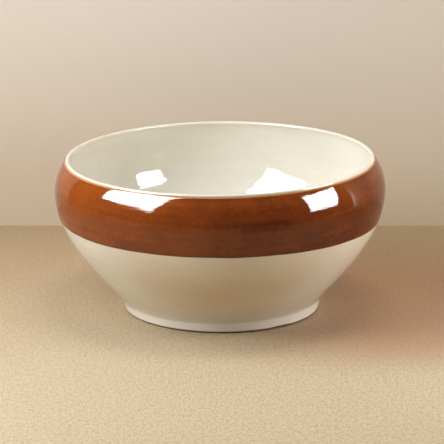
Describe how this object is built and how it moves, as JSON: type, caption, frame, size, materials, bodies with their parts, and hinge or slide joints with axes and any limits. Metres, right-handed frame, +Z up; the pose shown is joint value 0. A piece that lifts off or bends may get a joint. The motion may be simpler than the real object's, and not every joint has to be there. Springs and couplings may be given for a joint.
{
  "type": "shaving bowl",
  "caption": "Squat round ceramic bowl with an in-curved shoulder, a low foot ring and a band of coloured glaze, used to work up shaving lather.",
  "frame": {"origin": "centre of the foot ring's standing face, on the bowl's axis", "axes": "+Z up along the bowl's axis; +X and +Y level and equal, because the bowl is round"},
  "size_m": [0.15, 0.15, 0.07],
  "materials": {
    "clay": "bare fired clay, sponged, matt",
    "cream_glaze": "glossy cream glaze, faintly mottled, with small iron specks",
    "brown_glaze": "glossy honey-brown glaze, darker where it lies thick, with faint level streaks"
  },
  "bodies": {
    "root": {"clay_body": "clay", "foot_ring": "clay", "liner_glaze": "cream_glaze", "brown_band_glaze": "brown_glaze", "cream_wall_glaze": "cream_glaze", "base_glaze": "cream_glaze"}
  },
  "joints": []
}
